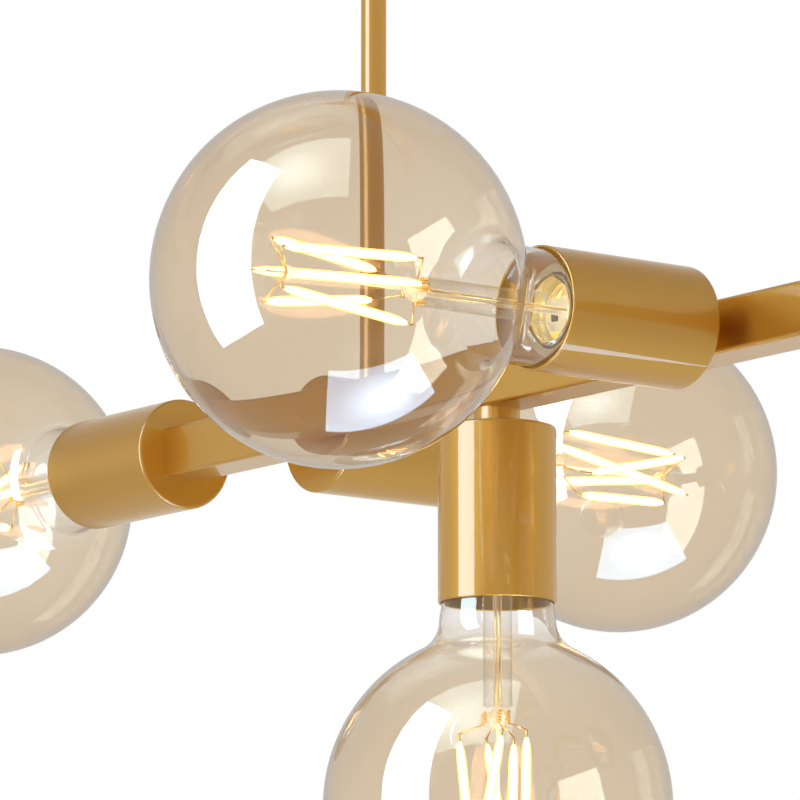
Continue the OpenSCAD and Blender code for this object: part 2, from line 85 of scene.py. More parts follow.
def outward_turn(axis):
    """The turn that points +Z along a cup's axis."""
    if long_axis(axis) == "X":
        return Matrix.Rotation(math.atan2(axis.x, axis.z), 4, "Y")
    return Matrix.Rotation(math.atan2(-axis.y, axis.z), 4, "X")


def lamp_place(number):
    """The globe's centre, outward axis and radius, and the matrix of one lamp."""
    joint = joints[f"lamp_{number}_unscrew"]
    back = Vector(joint["pos_m"])
    axis = Vector(joint["axis"])
    low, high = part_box(f"bulb_glass_{number}")
    sides = [high[k] - low[k] for k, letter in enumerate("XYZ") if letter != long_axis(axis)]
    radius = min(sides) / 2
    tip = max((low - back).dot(axis), (high - back).dot(axis))
    centre = back + axis * (tip - radius)
    turn = Matrix.Rotation(math.radians(LAMP_TURNS[number - 1]), 4, "Z")
    return Place(centre, axis, radius,
                 Matrix.Translation(centre) @ outward_turn(axis) @ turn)


places = {number: lamp_place(number) for number in LAMPS}
GLOBE_R = places[NEAREST_LAMP].radius
for number, place in places.items():
    print("lamp", number, "at", [round(v, 4) for v in place.centre],
          "radius", round(place.radius, 4))

# %% [markdown]
# ## The camera
#
# The photograph was taken from the right of the light and a little below it, with a long
# lens. The place, the turn and the lens come from a camera that was fitted to the globes,
# cups, rod and bar.

# %% Camera
CAMERA_AT = Vector((1.55896, -1.35904, -0.88015))
CAMERA_YAW = math.radians(-53.016)
CAMERA_PITCH = math.radians(9.861)
SENSOR_MM = 36
LENS_MM = 280.25
CLIP_END = 200

looking = Vector((
    math.sin(CAMERA_YAW) * math.cos(CAMERA_PITCH),
    math.cos(CAMERA_YAW) * math.cos(CAMERA_PITCH),
    math.sin(CAMERA_PITCH),
))
lens = bpy.data.cameras.new("camera")
lens.sensor_width = SENSOR_MM
lens.lens = LENS_MM
lens.clip_end = CLIP_END
camera = bpy.data.objects.new("camera", lens)
camera.location = CAMERA_AT
camera.rotation_euler = looking.to_track_quat("-Z", "Y").to_euler()
bpy.context.scene.collection.objects.link(camera)
bpy.context.scene.camera = camera
bpy.context.scene.view_settings.view_transform = "Standard"
print("camera looks along", [round(v, 3) for v in looking])

# %% [markdown]
# ## Shader maths that reads like arithmetic
#
# A finish is a small graph of nodes. Wrapping a socket in a class that overloads the
# operators lets an expression such as 0.2 + 0.1 * lines add its Math nodes by itself. Every
# other node comes from one method, which takes the node's type, its settings and its sockets.

# %% A socket as a number
class Link:
    """One output socket of a graph, which can be used in arithmetic."""

    def __init__(self, graph, socket):
        self.graph = graph
        self.socket = socket

    def __add__(self, other):
        return self.graph.maths("ADD", self, other)

    def __radd__(self, other):
        return self.graph.maths("ADD", other, self)

    def __sub__(self, other):
        return self.graph.maths("SUBTRACT", self, other)

    def __rsub__(self, other):
        return self.graph.maths("SUBTRACT", other, self)

    def __mul__(self, other):
        return self.graph.maths("MULTIPLY", self, other)

    def __rmul__(self, other):
        return self.graph.maths("MULTIPLY", other, self)


print("sockets take part in arithmetic")

# %% A graph of nodes
def set_stops(ramp, stops):
    """Gives a colour ramp its stops, each a position and a colour."""
    while len(ramp.elements) < len(stops):
        ramp.elements.new(0.5)
    for element, (position, colour) in zip(ramp.elements, stops):
        element.position = position
        element.color = colour


class Graph:
    """The nodes of a material or a world, all added by one method."""

    def __init__(self, owner):
        owner.use_nodes = True
        self.tree = owner.node_tree
        self.tree.nodes.clear()

    def node(self, kind, settings, sockets, output=0):
        """Adds a node and returns one of its outputs, or nothing where it has none."""
        made = self.tree.nodes.new(kind)
        for name, value in settings.items():
            if name == "stops":
                set_stops(made.color_ramp, value)
            else:
                setattr(made, name, value)
        for name, value in sockets.items():
            if isinstance(value, Link):
                self.tree.links.new(value.socket, made.inputs[name])
            else:
                made.inputs[name].default_value = value
        return Link(self, made.outputs[output]) if made.outputs else None

    def maths(self, operation, *values):
        """Adds a Math node. Its values are sockets or numbers."""
        return self.node("ShaderNodeMath", {"operation": operation}, dict(enumerate(values)))


print("graph helper is ready")

# %% A material's graph
class Finish(Graph):
    """A new material, and the steps that most finishes share."""

    def __init__(self, name):
        self.material = bpy.data.materials.new(name)
        super().__init__(self.material)

    def place(self):
        """The point on the surface, in the object's own coordinates."""
        return self.node("ShaderNodeTexCoord", {}, {}, "Object")

    def stretched(self, point, scale):
        """The point with each of its coordinates scaled."""
        return self.node("ShaderNodeMapping", {}, {"Vector": point, "Scale": scale})

    def noise(self, point, scale, detail):
        """Soft clouds from 0 to 1, smaller where the scale is larger."""
        return self.node("ShaderNodeTexNoise", {},
                         {"Vector": point, "Scale": scale, "Detail": detail})

    def mix(self, factor, first, second):
        """The first colour where the factor is 0, the second where it is 1."""
        return self.node("ShaderNodeMix", {"data_type": "RGBA"},
                         {0: factor, 6: first, 7: second}, 2)

    def bump(self, height, strength, distance):
        """A normal that makes a height between 0 and 1 look as deep as the distance."""
        return self.node("ShaderNodeBump", {},
                         {"Height": height, "Strength": strength, "Distance": distance})

    def surface(self, shader):
        """Makes a shader the material's surface and returns the material."""
        self.node("ShaderNodeOutputMaterial", {}, {"Surface": shader})
        return self.material

    def done(self, sockets):
        """Adds the surface shader with these sockets and returns the material."""
        return self.surface(self.node("ShaderNodeBsdfPrincipled", {}, sockets))


print("material helper is ready")

# %% [markdown]
# ## Satin gold
#
# The bar, cups, rods and canopy are plated and then brushed very finely along their length.
# Seen close, that leaves faint lines: they change how sharply each place reflects far more
# than they change its colour. A noise that is stretched along one axis gives such lines, and
# a second, cloudy noise keeps large faces from looking printed.
#
# A clear lacquer lies over the plating. It is what makes the crisp white lines on the rods and
# cups, while the plating under it only glows softly, so the lacquer is the shader's coat.

# %% Satin gold
GOLD_LIGHT = (0.80, 0.485, 0.10, 1)
GOLD_DEEP = (0.75, 0.445, 0.08, 1)
FINE = 2600
COARSE = 26
AXIS_SCALES = {"X": (COARSE, FINE, FINE), "Y": (FINE, COARSE, FINE), "Z": (FINE, FINE, COARSE)}


def satin_gold(along):
    """Lacquered gold plating, brushed along the X, Y or Z axis."""
    f = Finish(f"satin_gold_{along.lower()}")
    point = f.place()
    lines = f.noise(f.stretched(point, AXIS_SCALES[along]), 1.0, 3.0)
    clouds = f.noise(point, 16, 3.0)
    return f.done({
        "Base Color": f.mix(clouds, GOLD_DEEP, GOLD_LIGHT),
        "Metallic": 1.0,
        "Roughness": 0.34 + 0.05 * lines + 0.06 * clouds,
        "Coat Weight": 0.85,
        "Coat IOR": 1.5,
        "Coat Roughness": 0.0,
        "Normal": f.bump(lines, 0.05, 0.00003),
    })


gold = {along: satin_gold(along) for along in "XYZ"}


def finish_node(name, material):
    """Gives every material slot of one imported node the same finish."""
    for slot in nodes[name].material_slots:
        slot.material = material


for name in ("bar", "canopy"):
    finish_node(name, gold["X"])
for name in ("lower_rods", "upper_rods", "swivel_balls", "swivel_seats", "cap_nuts", "spacers"):
    finish_node(name, gold["Z"])
for number in LAMPS:
    finish_node(f"cup_{number}", gold[long_axis(places[number].axis)])
print("gold finishes:", [material.name for material in gold.values()])

# %% [markdown]
# ## The fittings
#
# Inside the bar and the cups are plainer finishes: turned brass, zinc plated steel, glazed
# insulators and black cable. They hardly show, but each still gets its own small changes of
# colour and gloss, so that a view into a cup looks real.

# %% Finishes of the fittings
def plain_brass():
    """Turned brass with faint clouds of tarnish."""
    f = Finish("plain_brass")
    clouds = f.noise(f.place(), 90, 4.0)
    return f.done({
        "Base Color": f.mix(clouds, (0.62, 0.42, 0.16, 1), (0.80, 0.62, 0.30, 1)),
        "Metallic": 1.0,
        "Roughness": 0.16 + 0.16 * clouds,
    })


def zinc_steel():
    """Zinc plating: a grey sheen with small spangles."""
    f = Finish("zinc_steel")
    spangle = f.node("ShaderNodeTexVoronoi", {}, {"Vector": f.place(), "Scale": 420}, "Color")
    grey = f.node("ShaderNodeRGBToBW", {}, {"Color": spangle})
    return f.done({
        "Base Color": f.mix(grey, (0.52, 0.53, 0.54, 1), (0.70, 0.70, 0.68, 1)),
        "Metallic": 1.0,
        "Roughness": 0.26 + 0.16 * grey,
    })


def white_insulator(name, glow):
    """Glazed porcelain with a slightly uneven glaze, and an even, warm painted glow of the given
    strength that stands in for lamplight.
    """
    f = Finish(name)
    clouds = f.noise(f.place(), 120, 2.0)
    return f.done({
        "Base Color": f.mix(clouds, (0.80, 0.78, 0.73, 1), (0.86, 0.85, 0.81, 1)),
        "Roughness": 0.16 + 0.10 * clouds,
        "Normal": f.bump(clouds, 0.2, 0.0002),
        "Emission Color": (0.84, 0.64, 0.35, 1),
        "Emission Strength": glow,
    })


def black_lead():
    """Matt black cable insulation."""
    f = Finish("black_lead")
    grain = f.noise(f.place(), 900, 2.0)
    return f.done({
        "Base Color": f.mix(grain, (0.012, 0.012, 0.013, 1), (0.03, 0.03, 0.032, 1)),
        "Roughness": 0.42 + 0.15 * grain,
    })


def contact_glass():
    """The black glass at a lamp's end, round its solder contact."""
    f = Finish("contact_glass")
    clouds = f.noise(f.place(), 300, 2.0)
    return f.done({
        "Base Color": f.mix(clouds, (0.01, 0.01, 0.012, 1), (0.04, 0.04, 0.045, 1)),
        "Roughness": 0.10 + 0.10 * clouds,
    })


print("finishes of the fittings are ready")

# %% Fittings
FITTINGS = {
    plain_brass(): ["nipples", "socket_contacts"] + [f"bulb_cap_{n}" for n in LAMPS],
    zinc_steel(): ["bar_plugs", "nipple_nuts", "rod_nuts", "rod_studs", "ceiling_bracket",
                   "canopy_studs"],
    white_insulator("white_insulator", glow=0.0): ["terminal_block"],
    # The lampholders get a painted warm glow for the light of the sticks.
    white_insulator("lamplit_insulator", glow=0.34): ["lampholders"],
    black_lead(): ["bar_leads", "canopy_leads"],
    contact_glass(): [f"bulb_contact_{n}" for n in LAMPS],
}
for material, names in FITTINGS.items():
    for name in names:
        finish_node(name, material)
    print(material.name, "on", len(names), "nodes")

# %% [markdown]
# ## Drawing an outline with spins
#
# The glass of a lamp is a shape of revolution. Its outline is drawn as a chain of straight
# lines and arcs. Each arc is itself a spin: one vertex is turned about the arc's centre, which
# leaves a row of edges behind it. A second spin, about the lamp's axis, makes the skin.

# %% Outline helpers
UP = Vector((0, 0, 1))
SIDEWAYS = Vector((0, 1, 0))
JOIN = 0.00002


def line_to(bm, vertex, x, z):
    """Draws a straight edge from a vertex to (x, z) and returns its end."""
    made = bmesh.ops.extrude_vert_indiv(bm, verts=[vertex])
    end = made["verts"][0]
    end.co = Vector((x, 0, z))
    return end


def arc_about(bm, vertex, x, z, degrees, steps):
    """Turns a vertex about (x, z), leaving an arc of edges, and returns the arc's end."""
    made = bmesh.ops.spin(bm, geom=[vertex], cent=(x, 0, z), axis=SIDEWAYS, dvec=(0, 0, 0),
                          angle=math.radians(degrees), steps=steps, use_merge=False)
    return next(item for item in made["geom_last"] if isinstance(item, bmesh.types.BMVert))


def spin_round(bm, steps):
    """Spins everything in bm once round the lamp's axis and closes its seam and poles."""
    bmesh.ops.spin(bm, geom=bm.verts[:] + bm.edges[:], cent=(0, 0, 0), axis=UP, dvec=(0, 0, 0),
                   angle=math.tau, steps=steps, use_merge=True)
    bmesh.ops.remove_doubles(bm, verts=bm.verts[:], dist=JOIN)
    bmesh.ops.dissolve_degenerate(bm, dist=JOIN / 2, edges=bm.edges[:])
    bmesh.ops.recalc_face_normals(bm, faces=bm.faces[:])


def as_mesh(bm, name, smooth=True):
    """Writes bm to a new mesh and frees it."""
    mesh = bpy.data.meshes.new(name)
    for face in bm.faces:
        face.smooth = smooth
    bm.to_mesh(mesh)
    bm.free()
    return mesh


print("outline helpers are ready")

# %% Putting a mesh on its lamps
def put_on_lamp(mesh, name, number, material, body=None):
    """Copies a mesh that was modelled at zero to its lamp, as a piece that rides on it.

    A piece that belongs to the cup and not to the lamp names another body to ride on.
    """
    copy = mesh.copy()
    copy.name = name
    copy.transform(places[number].matrix)
    copy.materials.clear()
    copy.materials.append(material)
    piece = bpy.data.objects.new(name, copy)
    bpy.context.scene.collection.objects.link(piece)
    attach(piece, body or f"lamp_{number}")
    return piece


def put_on_all(mesh, material, node="bulb_filament"):
    """Copies a mesh to every lamp, where it stands for that lamp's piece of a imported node."""
    for number in LAMPS:
        piece = put_on_lamp(mesh, f"{mesh.name}_{number}", number, material)
        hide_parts(f"{node}_{number}")
    print(mesh.name + ":", len(mesh.polygons), "faces on each lamp")


print("a mesh can go on lamps", *LAMPS)

# %% [markdown]
# ## The globe
#
# A real globe is blown: a thin wall of even thickness, a soft hollow curve where the neck
# begins, and a round shoulder that narrows to a collar inside the cap. The outline follows
# the outer face, and solidify then gives the skin its wall towards the inside.

# %% Globe's glass
GLASS_WALL = 0.8 * MM
NECK_R = 20.1 * MM
NECK_SWELL = 0.9 * MM
SWELL_LEN = 6 * MM
NECK_FILLET = 12 * MM
COLLAR_R = 11.85 * MM
SHOULDER_AT = 80.15 * MM
COLLAR_FOOT_AT = 95.5 * MM
AROUND = 96

swell_r = NECK_R + NECK_SWELL
fillet_x = swell_r + NECK_FILLET
fillet_at = math.sqrt((GLOBE_R + NECK_FILLET) ** 2 - fillet_x ** 2)
fillet_angle = math.degrees(math.atan2(fillet_at, fillet_x))


def globe_mesh():
    """The hollow glass, with how far each point lies along the axis kept as an attribute."""
    bm = bmesh.new()
    pen = bm.verts.new((0, 0, GLOBE_R))
    pen = arc_about(bm, pen, 0, 0, 90 + fillet_angle, steps=72)
    pen = arc_about(bm, pen, fillet_x, -fillet_at, -fillet_angle, steps=14)
    pen = line_to(bm, pen, NECK_R, -fillet_at - SWELL_LEN)
    pen = line_to(bm, pen, NECK_R, -SHOULDER_AT)
    pen = arc_about(bm, pen, COLLAR_R, -SHOULDER_AT, 90, steps=10)
    line_to(bm, pen, COLLAR_R, -COLLAR_FOOT_AT)
    spin_round(bm, AROUND)
    bmesh.ops.solidify(bm, geom=bm.faces[:], thickness=GLASS_WALL)
    bmesh.ops.recalc_face_normals(bm, faces=bm.faces[:])
    mesh = as_mesh(bm, "globe_glass")
    along = mesh.attributes.new("along_axis", "FLOAT", "POINT")
    reach = GLOBE_R + COLLAR_FOOT_AT
    along.data.foreach_set("value", [(GLOBE_R - v.co.z) / reach for v in mesh.vertices])
    return mesh


print("the hollow curve behind the globe turns", round(fillet_angle, 1), "degrees")

# %% The amber film
GLOBE_TINT = (0.835, 0.75, 0.63, 1)
FLARE_TINT = (0.87, 0.80, 0.70, 1)
NECK_TINT = (0.95, 0.935, 0.91, 1)
TINT_STOPS = [(0.0, GLOBE_TINT), (0.60, GLOBE_TINT), (0.74, FLARE_TINT), (0.82, NECK_TINT)]


def amber_glass():
    """Clear glass with an amber film that thins out towards the neck."""
    f = Finish("amber_glass")
    along = f.node("ShaderNodeAttribute", {"attribute_name": "along_axis"}, {}, "Fac")
    tint = f.node("ShaderNodeValToRGB", {"stops": TINT_STOPS}, {"Fac": along}, "Color")
    waves = f.noise(f.place(), 22, 1.0)
    return f.done({
        "Base Color": tint,
        "Roughness": 0.0,
        "IOR": 1.5,
        "Transmission Weight": 1.0,
        "Normal": f.bump(waves, 0.06, 0.0008),
    })


put_on_all(globe_mesh(), amber_glass(), node="bulb_glass")

# %% [markdown]
# ## The glass stem
#
# Inside the neck, a glass flare narrows to a tube, and a thinner tube runs along its middle.
# A thick glass button closes its end. A thin glass post leads from there to a second button
# past the middle of the globe.

# %% Helpers for rods and balls
def on_axis(z):
    """The point of the lamp's axis at a height."""
    return Vector((0, 0, z))


def ball(bm, centre, radius):
    """A smooth ball."""
    bmesh.ops.create_uvsphere(bm, u_segments=20, v_segments=12, radius=radius,
                              matrix=Matrix.Translation(centre))


def turn_along(span):
    """The turn that points +Z along a span."""
    return span.to_track_quat("Z", "Y").to_matrix().to_4x4()


def stick_between(bm, start, end, radius, sides=10):
    """A round rod from one point to another."""
    span = end - start
    bmesh.ops.create_cone(bm, cap_ends=True, segments=sides, radius1=radius, radius2=radius,
                          depth=span.length,
                          matrix=Matrix.Translation((start + end) / 2) @ turn_along(span))


print("rod and ball helpers are ready")

# %% Stem, post and buttons
STEM_R = 5.2 * MM
STEM_END_AT = 36 * MM
INNER_TUBE_R = 1.6 * MM
POST_R = 0.6 * MM
FAR_BUTTON_R = 2.5 * MM
NEAR_BUTTON_R = 3.9 * MM
FAR_BUTTON_AT = 21 * MM
NEAR_BUTTON_AT = 31.8 * MM
FLARE_GAP = 0.1 * MM

flare_r = COLLAR_R - GLASS_WALL - FLARE_GAP
curve_r = flare_r - STEM_R
curve_at = COLLAR_FOOT_AT - GLASS_WALL - curve_r


def stem_mesh():
    """The flare and the tube, as one thin skin."""
    bm = bmesh.new()
    pen = bm.verts.new((flare_r, 0, -COLLAR_FOOT_AT))
    pen = line_to(bm, pen, flare_r, -curve_at - curve_r)
    pen = arc_about(bm, pen, flare_r, -curve_at, 90, steps=8)
    pen = line_to(bm, pen, STEM_R, -STEM_END_AT)
    line_to(bm, pen, 0, -STEM_END_AT)
    spin_round(bm, 40)
    return as_mesh(bm, "lamp_stem")


def inner_tube_mesh():
    """The thinner tube in the middle of the stem."""
    bm = bmesh.new()
    stick_between(bm, on_axis(-curve_at - curve_r), on_axis(-STEM_END_AT), INNER_TUBE_R, 20)
    return as_mesh(bm, "inner_tube")


def post_mesh():
    """The post and its two buttons."""
    bm = bmesh.new()
    stick_between(bm, on_axis(-NEAR_BUTTON_AT), on_axis(FAR_BUTTON_AT), POST_R)
    ball(bm, on_axis(FAR_BUTTON_AT), FAR_BUTTON_R)
    ball(bm, on_axis(-NEAR_BUTTON_AT), NEAR_BUTTON_R)
    return as_mesh(bm, "lamp_post")


print("stem from", round(-curve_at - curve_r, 4), "to", -STEM_END_AT, "m")

# %% The stem's glass
CLOUD_SHADE = 0.92


def thin_glass(name, colour, middle, edge, glow):
    """A skin of glass: clear where one looks straight through it, denser at its edges, with a
    painted glow of its own colour that stands in for the light of the sticks.
    """
    f = Finish(name)
    facing = f.node("ShaderNodeLayerWeight", {}, {"Blend": 0.5}, "Facing")
    clouds = f.noise(f.place(), 60, 1.0)
    return f.done({
        "Base Color": f.mix(clouds, colour, (*(CLOUD_SHADE * v for v in colour[:3]), 1)),
        "Roughness": 0.03,
        "IOR": 1.45,
        "Alpha": middle + (edge - middle) * (facing * facing * facing),
        "Emission Color": colour,
        "Emission Strength": glow,
    })


def lit_glass():
    """Glass close to the lit sticks, with a painted glow in cloudy warm colours that stands in
    for their light.
    """
    f = Finish("lit_glass")
    clouds = f.noise(f.place(), 260, 2.0)
    return f.done({
        "Base Color": (1, 0.98, 0.94, 1),
        "Roughness": 0.05,
        "IOR": 1.45,
        "Transmission Weight": 0.9,
        "Emission Color": f.mix(clouds, (1.0, 0.80, 0.42, 1), (1.0, 0.93, 0.74, 1)),
        "Emission Strength": 0.26,
    })


# The stem and its inner tube carry a painted glow for the light of the sticks.
put_on_all(stem_mesh(), thin_glass("stem_glass", (0.80, 0.72, 0.55, 1),
                                   middle=0.07, edge=0.70, glow=0.17))
put_on_all(inner_tube_mesh(), thin_glass("tube_glass", (1.0, 0.95, 0.82, 1),
                                         middle=0.12, edge=0.95, glow=0.45))
# The post and its buttons carry a painted glow for the light of the sticks.
put_on_all(post_mesh(), lit_glass())

# %% [markdown]
# ## Light sticks and their wires
#
# Five thin sticks give the light. Each end sits on a small metal tab. A wire leads from each
# far tab to the button past the globe's middle, and from each near tab to a small coil beside
# the stem's end. The sticks lean, so the ring of their far ends is turned against the ring of
# their near ends.
#
# A lit stick is white in the middle and deep yellow at its edge, where one looks through
# more of its coating. Two nested rods show that without any trick: a bright core inside a
# see-through coat.

# %% Where the sticks stand
STICK_FAR = [40, 80, 170, 256, 317]
STICK_NEAR = [37, 146, 357, 188, 294]
FAR_RING_R = 10.4 * MM
NEAR_RING_R = 14 * MM
FAR_RING_AT = 27.7 * MM
NEAR_RING_AT = -23.8 * MM


def ring_point(radius, degrees, z):
    """A point on a ring round the lamp's axis."""
    angle = math.radians(degrees)
    return Vector((radius * math.cos(angle), radius * math.sin(angle), z))


sticks = [(ring_point(NEAR_RING_R, near, NEAR_RING_AT), ring_point(FAR_RING_R, far, FAR_RING_AT))
          for far, near in zip(STICK_FAR, STICK_NEAR)]
print("sticks:", [round((far - near).length / MM, 1) for near, far in sticks], "mm apart")

# %% The sticks
COAT_R = 1.75 * MM
CORE_R = 1.35 * MM
STICK_LEN = 54 * MM
TAPER_LEN = 8 * MM
TAPER_TO = 0.5
TAPER_MIDDLE = 0.88


def spindle(radius):
    """One stick along Z, with its middle at zero: a round rod that narrows to both ends."""
    bm = bmesh.new()
    half = STICK_LEN / 2
    tip = radius * TAPER_TO
    pen = bm.verts.new((0, 0, half))
    pen = arc_about(bm, pen, 0, half - tip, 90, steps=4)
    for x, z in ((radius * TAPER_MIDDLE, half - TAPER_LEN / 2), (radius, half - TAPER_LEN),
                 (radius, TAPER_LEN - half), (radius * TAPER_MIDDLE, TAPER_LEN / 2 - half),
                 (tip, tip - half)):
        pen = line_to(bm, pen, x, z)
    arc_about(bm, pen, 0, tip - half, 90, steps=4)
    spin_round(bm, 16)
    return as_mesh(bm, "spindle")


def rods_mesh(name, radius):
    """All five sticks: copies of one spindle, each fitted between its two ends."""
    one = spindle(radius)
    bm = bmesh.new()
    for near, far in sticks:
        first = len(bm.verts)
        bm.from_mesh(one)
        bm.verts.ensure_lookup_table()
        span = far - near
        fitted = (Matrix.Translation((near + far) / 2) @ turn_along(span)
                  @ Matrix.Diagonal((1, 1, span.length / STICK_LEN, 1)))
        bmesh.ops.transform(bm, matrix=fitted, verts=bm.verts[first:])
    bpy.data.meshes.remove(one)
    return as_mesh(bm, name)


def stick_core():
    """The white hot middle of a stick."""
    f = Finish("stick_core")
    beads = f.noise(f.place(), 700, 1.0)
    glow = f.mix(beads, (1.0, 0.93, 0.76, 1), (1.0, 0.97, 0.88, 1))
    return f.done({"Base Color": glow, "Emission Color": glow, "Emission Strength": 6.0})


def stick_coat():
    """The see-through yellow coat of a lit stick."""
    f = Finish("stick_coat")
    beads = f.noise(f.place(), 500, 1.0)
    glow = f.mix(beads, (1.0, 0.56, 0.07, 1), (1.0, 0.68, 0.14, 1))
    return f.done({
        "Base Color": glow,
        "Roughness": 0.4,
        "Emission Color": glow,
        "Emission Strength": 1.3,
        "Alpha": 0.55 + 0.2 * beads,
    })


put_on_all(rods_mesh("stick_coats", COAT_R), stick_coat())
put_on_all(rods_mesh("stick_cores", CORE_R), stick_core())

# %% The wires
TAB_R = 0.45 * MM
TAB_LEN = 2.5 * MM
WIRE_R = 0.3 * MM
COIL_R = 0.85 * MM
COIL_TURNS = 4
STEPS_PER_TURN = 12
COIL_LEN = 4.4 * MM
COIL_RING_R = 4.9 * MM
LEAD_R = 0.4 * MM
LEAD_OUT = 3 * MM


def coil(bm, foot):
    """A small coil of wire that stands on a point: a ring of vertices, spun while it rises."""
    steps = STEPS_PER_TURN * COIL_TURNS
    upright = Matrix.Rotation(math.pi / 2, 4, "X")
    beside = Matrix.Translation(foot + Vector((COIL_R, 0, 0)))
    made = bmesh.ops.create_circle(bm, segments=6, radius=WIRE_R, matrix=beside @ upright)
    edges = list({edge for vertex in made["verts"] for edge in vertex.link_edges})
    bmesh.ops.spin(bm, geom=made["verts"] + edges, cent=foot, axis=UP,
                   dvec=(0, 0, COIL_LEN / steps), angle=math.tau * COIL_TURNS, steps=steps)


def wires_mesh():
    """The leads in the stem, the coils round its end, and the wires that hold the sticks."""
    bm = bmesh.new()
    far_button = on_axis(FAR_BUTTON_AT)
    coil_from = -NEAR_BUTTON_AT - COIL_LEN / 2
    for side in (-LEAD_OUT, LEAD_OUT):
        stick_between(bm, Vector((side, 0, -COLLAR_FOOT_AT)),
                      Vector((side, 0, -STEM_END_AT)), LEAD_R, 8)
    for (near, far), degrees in zip(sticks, STICK_NEAR):
        along = (far - near).normalized()
        near_tab = near - along * TAB_LEN
        far_tab = far + along * TAB_LEN / 2
        coil_foot = ring_point(COIL_RING_R, degrees, coil_from)
        coil(bm, coil_foot)
        stick_between(bm, near_tab, near + along * TAB_LEN / 2, TAB_R, 8)
        stick_between(bm, far - along * TAB_LEN / 2, far_tab, TAB_R, 8)
        stick_between(bm, coil_foot + on_axis(COIL_LEN), near_tab, WIRE_R, 8)
        stick_between(bm, far_button, far_tab, WIRE_R, 8)
    return as_mesh(bm, "stick_wires")


def lit_wire():
    """Gold wire with a painted glow in cloudy warm colours that stands in for the light of the
    sticks.
    """
    f = Finish("lit_wire")
    clouds = f.noise(f.place(), 400, 2.0)
    return f.done({
        "Base Color": (0.95, 0.66, 0.24, 1),
        "Metallic": 1.0,
        "Roughness": 0.25,
        "Emission Color": f.mix(clouds, (0.62, 0.36, 0.07, 1), (1.0, 0.76, 0.36, 1)),
        "Emission Strength": 0.16,
    })


# The wires carry a painted glow for the light of the sticks.
put_on_all(wires_mesh(), lit_wire())

# %% [markdown]
# ## What shows inside the neck
#
# Through the neck one looks down the collar into the lamp's cap: on its brass inside,
# and on a small circuit board with one dark chip. The light of the sticks on them is a painted
# glow.

# %% Numbers of the cap, the board and the cups
DISH_R = 11.9 * MM
DISH_ROUND = 2.5 * MM
DISH_AT = 98.5 * MM
DISH_TOP_AT = 89.4 * MM
BOARD = (20.5 * MM, 11.4 * MM, 1 * MM)
BOARD_AT = 96.4 * MM
CHIP = (3.2 * MM, 4.6 * MM, 0.7 * MM)
CHIP_SIDE = -6.5 * MM
CHIP_RISE = 0.8 * MM
BLOCK_BEVEL = 0.12 * MM
CUP_LEN = 64 * MM
LINING_R = 20.28 * MM
LINING_FROM = 0.6 * MM
LINING_LEN = 20 * MM
print("cap's floor at", -DISH_AT, "board at", -BOARD_AT)

# %% Helpers for the cap
def dish_mesh():
    """The inside of the cap: its floor and the wall behind the glass collar."""
    bm = bmesh.new()
    pen = bm.verts.new((0, 0, -DISH_AT))
    pen = line_to(bm, pen, DISH_R - DISH_ROUND, -DISH_AT)
    pen = arc_about(bm, pen, DISH_R - DISH_ROUND, DISH_ROUND - DISH_AT, -90, steps=8)
    line_to(bm, pen, DISH_R, -DISH_TOP_AT)
    spin_round(bm, 48)
    return as_mesh(bm, "cap_inside")


def block_mesh(name, size, centre):
    """A box with slightly bevelled edges."""
    bm = bmesh.new()
    bmesh.ops.create_cube(bm, size=1)
    bmesh.ops.scale(bm, vec=size, verts=bm.verts[:])
    bmesh.ops.translate(bm, vec=centre, verts=bm.verts[:])
    bmesh.ops.bevel(bm, geom=bm.edges[:], offset=BLOCK_BEVEL, segments=1, affect="EDGES")
    return as_mesh(bm, name, smooth=False)


def painted_glow_finish(name, scale, dark, light, metallic, strength):
    """A plain finish with cloudy colour, and a painted glow in that colour that stands in for
    the light of the sticks close by.
    """
    f = Finish(name)
    colour = f.mix(f.noise(f.place(), scale, 3.0), dark, light)
    return f.done({
        "Base Color": colour,
        "Metallic": metallic,
        "Roughness": 0.3,
        "Emission Color": colour,
        "Emission Strength": strength,
    })


def lining_mesh(mouth_at):
    """A very thin tube just inside a cup's wall, which carries a painted glow for the light of
    the sticks.
    """
    bm = bmesh.new()
    pen = bm.verts.new((LINING_R, 0, -mouth_at - LINING_FROM))
    line_to(bm, pen, LINING_R, -mouth_at - LINING_FROM - LINING_LEN)
    spin_round(bm, AROUND)
    return as_mesh(bm, "cup_lining")


print("cap helpers are ready")

# %% Cup linings and what is in the cap
# The cup linings, the cap's inside, the board and the chip carry a painted glow for the light of
# the sticks.
lamplit_gold = painted_glow_finish("lamplit_gold", 120, (0.50, 0.30, 0.07, 1), (0.64, 0.41, 0.12, 1),
                       metallic=1.0, strength=0.16)
for number in LAMPS:
    place = places[number]
    cup_back = Vector(joints[f"lamp_{number}_unscrew"]["pos_m"])
    mouth_at = (place.centre - cup_back).dot(place.axis) - CUP_LEN
    put_on_lamp(lining_mesh(mouth_at), f"cup_lining_{number}", number, lamplit_gold,
                body="fixture")

put_on_all(dish_mesh(),
           painted_glow_finish("cap_inside", 160, (0.60, 0.43, 0.10, 1), (0.92, 0.74, 0.28, 1),
                   metallic=1.0, strength=0.62))
put_on_all(block_mesh("driver_board", BOARD, (0, 0, -BOARD_AT)),
           painted_glow_finish("driver_board", 420, (0.80, 0.68, 0.40, 1), (0.97, 0.90, 0.68, 1),
                   metallic=0.0, strength=0.72))
put_on_all(block_mesh("driver_chip", CHIP, (CHIP_SIDE, 0, CHIP_RISE - BOARD_AT)),
           painted_glow_finish("driver_chip", 300, (0.10, 0.065, 0.035, 1), (0.17, 0.11, 0.06, 1),
                   metallic=0.0, strength=0.3))

# %% [markdown]
# ## The studio
#
# The background is white. The camera sees it directly, and metal and glass see it in their
# reflections, while the light that falls on matt surfaces comes from a softer world and one
# large lamp overhead. Real photographers stand dark cards round shiny metal, so that it
# shows shape and not only white, and this studio does the same.

# %% World
SOFT_WORLD = 0.8
WHITE = (1, 1, 1, 1)


